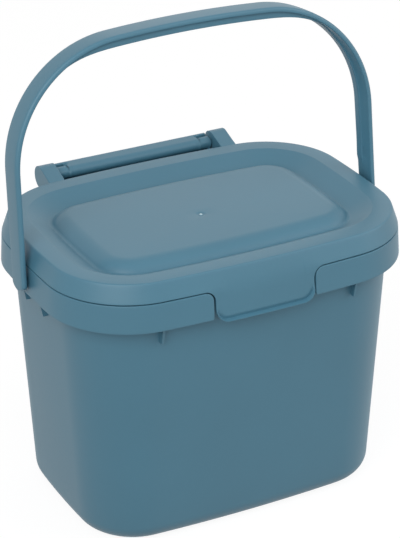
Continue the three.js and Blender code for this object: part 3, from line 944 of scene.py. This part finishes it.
def lid_top_profile(caddy):
    """(inset, z) places of the lid's top, from the panel to the top of the skirt."""
    lid = caddy.lid
    low = caddy.lid_top - lid.moat_depth
    high = caddy.lid_top
    fan = high - SKIRT_FAN
    shoulder = panel_arc(caddy, 0)
    on_slope = (caddy.crease_inset + SLOPE_PLACE[0], low + SLOPE_PLACE[1], 0)
    on_rim = (caddy.rim_inset + 5, high, 0)
    moat = rounded([(*shoulder[-1], 0), (caddy.moat_inset, low, 2.2), on_slope])
    crease = rounded([on_slope, (caddy.crease_inset, high, 0.5), on_rim])
    edge = rounded([
        on_rim, (caddy.skirt_inset(high, SKIRT_SOFTNESS), high, lid.edge_radius),
        (caddy.skirt_inset(fan, SKIRT_SOFTNESS), fan, 0),
    ])
    return shoulder + moat[1:] + crease[1:] + edge[1:]


def build_lid(caddy):
    """The lid's shell with its moat, panel, skirt, tab, finger lip and locating rim."""
    lid = caddy.lid
    columns = lid_columns(caddy)
    stations = [column.top for column in columns]
    gate = Vector((*GATE_PLACE, caddy.panel_top + lid.panel_crown))
    border = [station.at(caddy.panel_inset, caddy.panel_top) for station in stations]
    rows = []
    for radius, sink in GATE_RINGS:
        row = []
        for point in border:
            away = Vector((point.x - gate.x, point.y - gate.y, 0)).normalized()
            row.append(gate + away * radius - Vector((0, 0, sink)))
        rows.append(row)
    outer_mark = rows[-1]
    for share in (0.12, 0.3, 0.5, 0.7, 0.85, 0.95):
        lift = lid.panel_crown * (1 - share ** 2)
        row = [a.lerp(b, share) for a, b in zip(outer_mark, border)]
        rows.append([Vector((p.x, p.y, caddy.panel_top + lift)) for p in row])
    for inset, z in lid_top_profile(caddy):
        rows.append([station.at(inset, z) for station in stations])
    reach = SKIRT_ROWS[0][0]
    height = caddy.lid_top - SKIRT_FAN
    for share in (0.9, 0.75, 0.6, 0.45, 0.3, 0.18, 0.08):
        rows.append([column.at(reach, 0, share, height) for column in columns])
    for d, depth in SKIRT_ROWS:
        rows.append([column.at(d, depth) for column in columns])
    under = caddy.lid_top - lid.plate
    for share in (0.15, 0.4, 0.7, 0.95):
        rows.append([column.at(2.5, lid.plate, share, under - 0.3) for column in columns])
    plug = caddy.bucket.overhang + caddy.bucket.wall + lid.plug_gap
    low = caddy.rim - lid.plug_depth
    for inset, z in rounded([
        (caddy.rim_inset + 2.4, under, 0), (plug, under, 0.6), (plug, low, 0.5),
        (plug + lid.plug_wall, low, 0.5), (plug + lid.plug_wall, under, 0.6),
        (caddy.crease_inset - 0.5, under, 1.0),
        (caddy.moat_inset, caddy.lid_top - lid.moat_depth - 2.27, 0),
    ]):
        rows.append([station.at(inset, z) for station in stations])
    for inset, z in reversed(panel_arc(caddy, lid.plate)):
        rows.append([station.at(inset, z) for station in stations])
    below = caddy.panel_top - lid.plate
    middle = Vector((0, 0, below))
    inner = [station.at(caddy.panel_inset, below) for station in stations]
    for share in (0.3, 0.6, 0.85):
        rows.append([point.lerp(middle, share) for point in inner])
    bm = bmesh.new()
    first, last = loft(bm, rows)
    close_pole(bm, first, gate - Vector((0, 0, GATE_RINGS[0][1])))
    close_pole(bm, last, middle)
    return bm


def tangent_angle(centre, radius, point, turn):
    """The angle on a circle where a line from a point touches it."""
    y, z = point[0] - centre[0], point[1] - centre[1]
    return math.atan2(z, y) - turn * math.acos(radius / math.hypot(y, z))


def build_knuckles(caddy):
    """The two knuckles that reach back from the rim, with the pin stubs in the barrel's ends."""
    hinge, outline = caddy.hinge, caddy.outline
    centre, radius = (caddy.axis_y, caddy.axis_z), hinge.knuckle_radius
    middle = caddy.knuckle_inner + hinge.knuckle_width / 2
    bm = bmesh.new()
    top = (outline.side_reach(middle, caddy.rim_inset + 1.6), caddy.lid_top - 0.25)
    low = (outline.side_reach(middle, caddy.bucket.band_lean + 1), caddy.skirt_bottom + 0.6)
    start = tangent_angle(centre, radius, top, 1)
    stop = tangent_angle(centre, radius, low, -1)
    arc = []
    for k in range(29):
        a = mix(start, stop, k / 28)
        arc.append((centre[0] + radius * math.cos(a), centre[1] + radius * math.sin(a)))
    for side in (-1, 1):
        inner, outer = side * caddy.knuckle_inner, side * (middle + hinge.knuckle_width / 2)
        slab(bm, [low, top, *arc], inner, outer, 0.55, segments=3)
        tip = side * (caddy.knuckle_inner - hinge.pin_length)
        pin = hinge.pin_radius
        profile = [(tip, pin - 0.5), (tip + side * 0.5, pin), (side * middle, pin)]
        turned_bar(bm, profile, *centre, steps=28)
    return bm


# The bail handle


class Bail:
    """The bail's outer line, drawn upright with its pivots at height zero."""

    def __init__(self, caddy):
        size = caddy.bail
        self.size, self.foot_half = size, caddy.foot_half
        radius = size.shoulder_radius
        self.arm_angle = math.atan2(size.draw_in, size.arm_rise)
        self.centre_x = caddy.foot_half - size.draw_in - radius * math.cos(self.arm_angle)
        self.centre_z = size.arm_rise - radius * math.sin(self.arm_angle)
        rest = math.sqrt((size.crown_radius - radius) ** 2 - self.centre_x ** 2)
        self.crown_z = self.centre_z - rest
        self.crown_angle = math.atan2(self.centre_z - self.crown_z, self.centre_x)
        self.land_start = caddy.lid_top - caddy.pivot_z + LAND_ABOVE_LID

    def places(self):
        """(x, z, angle) places from the right foot up and over to the middle of the crown."""
        size = self.size
        rises = []
        for k in range(9):
            # The foot starts a little above the tip of its ellipse, where it has no width
            turn = math.pi / 2 * (k + 0.35) / 9.35
            rises.append(-size.foot_drop * math.cos(turn))
        rises += [size.arm_rise * k / 24 for k in range(24)]
        line = [
            (self.foot_half - rise * math.tan(self.arm_angle), rise, self.arm_angle)
            for rise in rises
        ]
        for k in range(49):
            t = mix(self.arm_angle, self.crown_angle, k / 48)
            x = self.centre_x + size.shoulder_radius * math.cos(t)
            line.append((x, self.centre_z + size.shoulder_radius * math.sin(t), t))
        for share in shares(24):
            t = mix(self.crown_angle, math.pi / 2, share)
            x = size.crown_radius * math.cos(t)
            line.append((x, self.crown_z + size.crown_radius * math.sin(t), t))
        return line

    def half_width(self, rise):
        size = self.size
        foot = size.foot_width / 2
        if rise < 0:
            return foot * math.sqrt(1 - (rise / size.foot_drop) ** 2)
        return mix(foot, size.width / 2, smooth(rise / (size.arm_rise * WIDE_SHARE)))

    def rib(self, rise, angle):
        """Where the rib's front and rear edges lie across the strap, and its depth."""
        size = self.size
        over = self.crown_share(angle)
        fade = smooth((rise - self.land_start) / LAND_FADE)
        forward = smooth((angle - RIB_WIDENS) / (RIB_WIDE - RIB_WIDENS))
        front = mix(LAND_FRONT, size.rib_inset - size.width / 2, forward)
        rear = mix(self.half_width(rise) - LAND_REAR, size.width / 2 - size.rib_inset, over)
        land = mix(size.land_foot, size.land_depth, smooth((rise - LAND_THINS) / LAND_THINS_RUN))
        return front, rear, fade * mix(land, size.rib_depth, over)

    def crown_share(self, angle):
        """How far the strap has turned from an arm into the crown."""
        return smooth((angle - RIB_START) / (RIB_FULL - RIB_START))

    def section(self, rise, angle):
        """One closed cut across the strap, as (across, depth) places."""
        half = self.half_width(rise)
        thick = self.size.strap
        edge = min(STRAP_FRONT_ROUND, half * 0.45)
        rear_edge = min(STRAP_REAR_ROUND, half * 0.45)
        inner = min(STRAP_INNER_ROUND, half * 0.3)
        front, rear, depth = self.rib(rise, angle)
        front, rear = max(front, -half + 1), min(rear, half - 0.9)
        if rear < front + 1:
            front, rear = half * 0.1, half * 0.5
        cut = []
        for k in range(9):
            v = mix(-half + edge, half - rear_edge, k / 8)
            cut.append((v, STRAP_BOW * (v / half) ** 2))
        rim = STRAP_BOW * ((half - rear_edge) / half) ** 2
        for k in (1, 2, 3, 4):
            t = math.pi / 2 * k / 4
            v = half - rear_edge + rear_edge * math.sin(t)
            cut.append((v, rim + rear_edge * (1 - math.cos(t))))
        for k in range(4):
            t = math.pi / 2 * k / 3
            cut.append((half - inner + inner * math.cos(t), thick - inner + inner * math.sin(t)))
        tip = thick + depth
        step = min(RIB_ROUND, depth / 2 + 0.02)
        bevel, corner = step * 0.3, tip - step * 0.3
        flare, side = thick + min(RIB_FLARE, depth * 0.2), mix(thick, tip, 0.45)
        cut += [(rear + RIB_FLARE, thick), (rear + RIB_FLARE_NEAR, flare), (rear, side)]
        cut += [(rear, tip - step), (rear - bevel, corner), (rear - step, tip)]
        cut += [(mix(rear - step, front + step, k / 4), tip) for k in (1, 2, 3)]
        cut += [(front + step, tip), (front + bevel, corner), (front, tip - step)]
        cut += [(front, side), (front - RIB_FLARE_NEAR, flare), (front - RIB_FLARE, thick)]
        for k in range(4):
            t = math.pi / 2 * (1 - k / 3)
            cut.append((-half + inner - inner * math.cos(t), thick - inner + inner * math.sin(t)))
        rim = STRAP_BOW * ((half - edge) / half) ** 2
        for k in (4, 3, 2, 1):
            t = math.pi / 2 * k / 4
            cut.append((-half + edge - edge * math.sin(t), rim + edge * (1 - math.cos(t))))
        return cut


def build_bail(caddy):
    """The strap with its grip rib, its rounded feet, the seats and the studs."""
    bail = Bail(caddy)
    rows = []
    for x, rise, angle in bail.places():
        along, up = math.cos(angle), math.sin(angle)
        cut = bail.section(rise, angle)
        rows.append([Vector((x - along * d, across, rise - up * d)) for across, d in cut])
    rows += [[Vector((-p.x, p.y, p.z)) for p in row] for row in reversed(rows[:-1])]
    bm = bmesh.new()
    loft(bm, rows, caps=True)
    half = caddy.plan.half_width
    root = caddy.foot_half - caddy.bail.strap / 2
    tip = half - caddy.bucket.overhang + 1
    seat, stud = caddy.bail.seat_radius, caddy.bail.stud_radius
    for side in (-1, 1):
        for start, run, rise, radius in ((half + 0.5, 0.3, 0.3, seat), (tip, 0.5, 0.4, stud)):
            profile = [(side * start, radius - rise), (side * (start + run), radius)]
            turned_bar(bm, [*profile, (side * root, radius)], 0, 0)
    turn = Matrix.Rotation(-caddy.bail.lean, 3, "X")
    bmesh.ops.rotate(bm, cent=(0, 0, 0), matrix=turn, verts=bm.verts)
    bmesh.ops.translate(bm, vec=(0, 0, caddy.pivot_z), verts=bm.verts)
    return bm


# Materials


class Signal:
    """A value that varies over a surface. Sums, differences and products add Math nodes."""

    def __init__(self, graph, socket):
        self.graph, self.socket = graph, socket

    def math(self, operation, first, second):
        return self.graph.node("ShaderNodeMath", {"operation": operation}, {0: first, 1: second})

    def __add__(self, other):
        return self.math("ADD", self, other)

    def __sub__(self, other):
        return self.math("SUBTRACT", self, other)

    def __mul__(self, other):
        return self.math("MULTIPLY", self, other)

    def __rsub__(self, other):
        return self.math("SUBTRACT", other, self)

    __radd__ = __add__
    __rmul__ = __mul__


class Graph:
    """A material's node tree. Every node comes from its one node method."""

    def __init__(self, material):
        self.tree = material.node_tree
        self.tree.nodes.clear()

    def node(self, kind, settings=None, sockets=None, output=0):
        made = self.tree.nodes.new(kind)
        for key, value in (settings or {}).items():
            setattr(made, key, value)
        for key, value in (sockets or {}).items():
            if isinstance(value, Signal):
                self.tree.links.new(value.socket, made.inputs[key])
            else:
                made.inputs[key].default_value = value
        return Signal(self, made.outputs[output]) if len(made.outputs) else None


def new_material(name):
    material = bpy.data.materials.get(name) or bpy.data.materials.new(name)
    material.use_nodes = True
    return material


def moulded_plastic(look, name="moulded_plastic", pip=None):
    """Satin polypropylene: a fine moulded grain, faint flow clouds and a soft gloss."""
    material = new_material(name)
    graph = Graph(material)
    place = graph.node("ShaderNodeTexCoord", output="Object")
    clouds = graph.node(
        "ShaderNodeTexNoise", sockets={"Vector": place, "Scale": CLOUD_SCALE, "Detail": 3.0},
    )
    specks = graph.node(
        "ShaderNodeTexNoise", sockets={"Vector": place, "Scale": SPECK_SCALE, "Detail": 2.0},
    )
    grain = graph.node(
        "ShaderNodeTexNoise", sockets={"Vector": place, "Scale": GRAIN_SCALE, "Detail": 3.0},
    )
    colour = tuple(look.plastic)
    pale = (*[min(1, c * 1.09 + 0.004) for c in colour], 1)
    deep = (*[c * 0.92 for c in colour], 1)
    tint = graph.node(
        "ShaderNodeMix", {"data_type": "RGBA"},
        {"Factor": clouds * 0.8 + specks * 0.2, 6: deep, 7: pale}, output=2,
    )
    roughness = look.roughness - 0.05 + clouds * 0.06 + specks * 0.05
    # Painted highlight: the pip at the gate is tinted a pale glint colour and made glossier
    if pip is not None:
        away = graph.node(
            "ShaderNodeVectorMath", {"operation": "DISTANCE"}, {0: place, 1: pip}, output="Value",
        )
        painted_glint = graph.node("ShaderNodeMapRange", sockets={
            "Value": away, "From Min": GATE_PIP * 0.7 / METRE, "From Max": GATE_PIP * 1.3 / METRE,
            "To Min": 1.0, "To Max": 0.0,
        })
        tint = graph.node(
            "ShaderNodeMix", {"data_type": "RGBA"},
            {"Factor": painted_glint, 6: tint, 7: tuple(look.gate) + (1,)}, output=2,
        )
        roughness = roughness - painted_glint * 0.2
    bump = graph.node("ShaderNodeBump", sockets={
        "Strength": 0.16, "Distance": 0.0001, "Height": grain * 0.7 + specks * 0.3,
    })
    shader = graph.node("ShaderNodeBsdfPrincipled", sockets={
        "Base Color": tint, "Roughness": roughness, "Normal": bump,
        "IOR": 1.49, "Specular IOR Level": 0.58,
    })
    graph.node("ShaderNodeOutputMaterial", sockets={"Surface": shader})
    return material


def seen_directly(graph):
    """One for a ray from the camera, off a gloss or through glass, and nought for the rest."""
    camera = graph.node("ShaderNodeLightPath", output="Is Camera Ray")
    mirror = graph.node("ShaderNodeLightPath", output="Is Glossy Ray")
    through = graph.node("ShaderNodeLightPath", output="Is Transmission Ray")
    return camera + mirror + through


def grey(level):
    return (level, level, level, 1)


def studio_floor():
    """A white floor that keeps the object's soft shadow and throws little light back up."""
    material = new_material("studio_floor")
    graph = Graph(material)
    white = graph.node("ShaderNodeEmission", sockets={"Color": grey(1), "Strength": 0.9})
    paper = graph.node("ShaderNodeBsdfDiffuse", sockets={"Color": grey(0.15)})
    dull = graph.node("ShaderNodeBsdfDiffuse", sockets={"Color": grey(0.24)})
    pale = graph.node("ShaderNodeAddShader", sockets={0: paper, 1: white})
    mixed = graph.node("ShaderNodeMixShader", sockets={0: seen_directly(graph), 1: dull, 2: pale})
    graph.node("ShaderNodeOutputMaterial", sockets={"Surface": mixed})
    return material


def studio_world(strength):
    """Even white light from all round, behind a white background."""
    world = bpy.data.worlds.get("studio") or bpy.data.worlds.new("studio")
    bpy.context.scene.world = world
    world.use_nodes = True
    graph = Graph(world)
    white = graph.node("ShaderNodeBackground", sockets={"Color": grey(1), "Strength": 1.0})
    light = graph.node("ShaderNodeBackground", sockets={"Color": grey(1), "Strength": strength})
    mixed = graph.node("ShaderNodeMixShader", sockets={0: seen_directly(graph), 1: light, 2: white})
    graph.node("ShaderNodeOutputWorld", sockets={"Surface": mixed})


# Operators


class CaddyOperator:
    """What every operator that makes a piece of the caddy shares."""

    bl_options = {"REGISTER", "UNDO"}

    def make(self, context, name, build, body, slot, flat=False, material=None):
        caddy = Caddy(context.scene)
        material = material or moulded_plastic(context.scene.caddy_look)
        place_piece(name, build(caddy), material, body, body, flat)
        return {"FINISHED"}


class CADDY_OT_bucket(CaddyOperator, bpy.types.Operator):
    """Make the tapered bucket with its floor and inner lip"""

    bl_idname = "caddy.bucket"
    bl_label = "Bucket"

    def execute(self, context):
        return self.make(context, "bucket_shell", build_bucket, "caddy_body", "body_plastic")


class CADDY_OT_band(CaddyOperator, bpy.types.Operator):
    """Make the band round the rim, open where the tab hangs"""

    bl_idname = "caddy.band"
    bl_label = "Band"

    def execute(self, context):
        return self.make(context, "rim_band", build_band, "caddy_body", "body_plastic")


class CADDY_OT_gussets(CaddyOperator, bpy.types.Operator):
    """Make the eight gussets under the band"""

    bl_idname = "caddy.gussets"
    bl_label = "Gussets"

    def execute(self, context):
        return self.make(
            context, "gussets", build_gussets, "caddy_body", "body_plastic", flat=True,
        )


class CADDY_OT_bracket(CaddyOperator, bpy.types.Operator):
    """Make the hinge bracket with its barrel and ribs"""

    bl_idname = "caddy.bracket"
    bl_label = "Hinge bracket"

    def execute(self, context):
        return self.make(
            context, "hinge_bracket", build_bracket, "caddy_body", "body_plastic", flat=True,
        )


class CADDY_OT_sockets(CaddyOperator, bpy.types.Operator):
    """Make the sockets that take the bail's studs"""

    bl_idname = "caddy.sockets"
    bl_label = "Pivot sockets"

    def execute(self, context):
        return self.make(context, "pivot_sockets", build_sockets, "caddy_body", "body_plastic")


class CADDY_OT_lid(CaddyOperator, bpy.types.Operator):
    """Make the lid with its moat, panel, skirt and tab"""

    bl_idname = "caddy.lid"
    bl_label = "Lid"

    def execute(self, context):
        caddy = Caddy(context.scene)
        # The lid's plastic has a painted highlight on the gate's pip
        pip = Vector((*GATE_PLACE, caddy.panel_top + caddy.lid.panel_crown)) / METRE
        plastic = moulded_plastic(context.scene.caddy_look, "gated_plastic", tuple(pip))
        return self.make(
            context, "lid_cover", build_lid, "lid", "lid_plastic", material=plastic,
        )


class CADDY_OT_knuckles(CaddyOperator, bpy.types.Operator):
    """Make the lid's two hinge knuckles with their pin stubs"""

    bl_idname = "caddy.knuckles"
    bl_label = "Hinge knuckles"

    def execute(self, context):
        return self.make(
            context, "hinge_knuckles", build_knuckles, "lid", "lid_plastic", flat=True,
        )


class CADDY_OT_bail(CaddyOperator, bpy.types.Operator):
    """Make the bail handle with its grip rib and studs"""

    bl_idname = "caddy.bail"
    bl_label = "Bail handle"

    def execute(self, context):
        return self.make(context, "bail_strap", build_bail, "bail_handle", "handle_plastic")


class CADDY_OT_stage(bpy.types.Operator):
    """Make the floor, the lamps, the surrounding light and the camera"""

    bl_idname = "caddy.stage"
    bl_label = "Stage"

    def execute(self, context):
        look = context.scene.caddy_look
        bm = bmesh.new()
        bmesh.ops.create_grid(bm, x_segments=1, y_segments=1, size=6)
        mesh = bpy.data.meshes.new("floor")
        bm.to_mesh(mesh)
        bm.free()
        mesh.materials.append(studio_floor())
        floor = bpy.data.objects.new("floor", mesh)
        context.scene.collection.objects.link(floor)
        studio_world(look.ambient)
        for name, place, size in LAMPS:
            add_lamp(name, place, size, getattr(look, f"{name}_power"))
        add_camera()
        context.scene.view_settings.view_transform = "Standard"
        return {"FINISHED"}


def add_lamp(name, place, size, power):
    data = bpy.data.lights.new(name, "AREA")
    data.energy, data.size = power, size
    lamp = bpy.data.objects.new(name, data)
    lamp.location = place
    aim = Vector(LAMP_AIM) - Vector(place)
    lamp.rotation_euler = aim.to_track_quat("-Z", "Y").to_euler()
    bpy.context.scene.collection.objects.link(lamp)


def add_camera():
    """The camera at the photograph's viewing angle."""
    azimuth, elevation, roll = (math.radians(turn) for turn in CAMERA_TURNS)
    back = Vector((
        math.sin(azimuth) * math.cos(elevation),
        -math.cos(azimuth) * math.cos(elevation),
        math.sin(elevation),
    ))
    level = Vector((math.cos(azimuth), math.sin(azimuth), 0))
    right = level * math.cos(roll) + back.cross(level) * math.sin(roll)
    matrix = Matrix((right, back.cross(right), back)).transposed().to_4x4()
    matrix.translation = Vector(CAMERA_PLACE)
    camera = bpy.data.objects.new("camera", bpy.data.cameras.new("camera"))
    bpy.context.scene.collection.objects.link(camera)
    camera.matrix_world = matrix
    camera.data.lens = CAMERA_LENS
    camera.data.sensor_width = CAMERA_SENSOR
    camera.data.clip_end = 50
    bpy.context.scene.camera = camera


class CADDY_PT_sidebar(bpy.types.Panel):
    """The caddy's pieces and their sizes"""

    bl_label = "Food waste caddy"
    bl_idname = "CADDY_PT_sidebar"
    bl_space_type = "VIEW_3D"
    bl_region_type = "UI"
    bl_category = "Caddy"

    def draw(self, context):
        for operator in OPERATORS:
            self.layout.operator(operator.bl_idname)
        for key in GROUPS:
            group = getattr(context.scene, key)
            box = self.layout.box()
            for name in group.bl_rna.properties.keys():
                if name not in ("rna_type", "name"):
                    box.prop(group, name)


OPERATORS = (
    CADDY_OT_bucket, CADDY_OT_band, CADDY_OT_gussets, CADDY_OT_bracket, CADDY_OT_sockets,
    CADDY_OT_lid, CADDY_OT_knuckles, CADDY_OT_bail, CADDY_OT_stage,
)
GROUPS = {
    "caddy_plan": CaddyPlan, "caddy_bucket": CaddyBucket, "caddy_lid": CaddyLid,
    "caddy_hinge": CaddyHinge, "caddy_bail": CaddyBail, "caddy_look": CaddyLook,
}


def register():
    for made in (*GROUPS.values(), *OPERATORS, CADDY_PT_sidebar):
        bpy.utils.register_class(made)
    for key, group in GROUPS.items():
        setattr(bpy.types.Scene, key, PointerProperty(type=group))


def unregister():
    for key in GROUPS:
        delattr(bpy.types.Scene, key)
    for made in reversed((*GROUPS.values(), *OPERATORS, CADDY_PT_sidebar)):
        bpy.utils.unregister_class(made)


def main():
    register()
    for operator in OPERATORS:
        group, name = operator.bl_idname.split(".")
        getattr(getattr(bpy.ops, group), name)()
    bpy.context.view_layer.update()


if __name__ == "__main__":
    main()
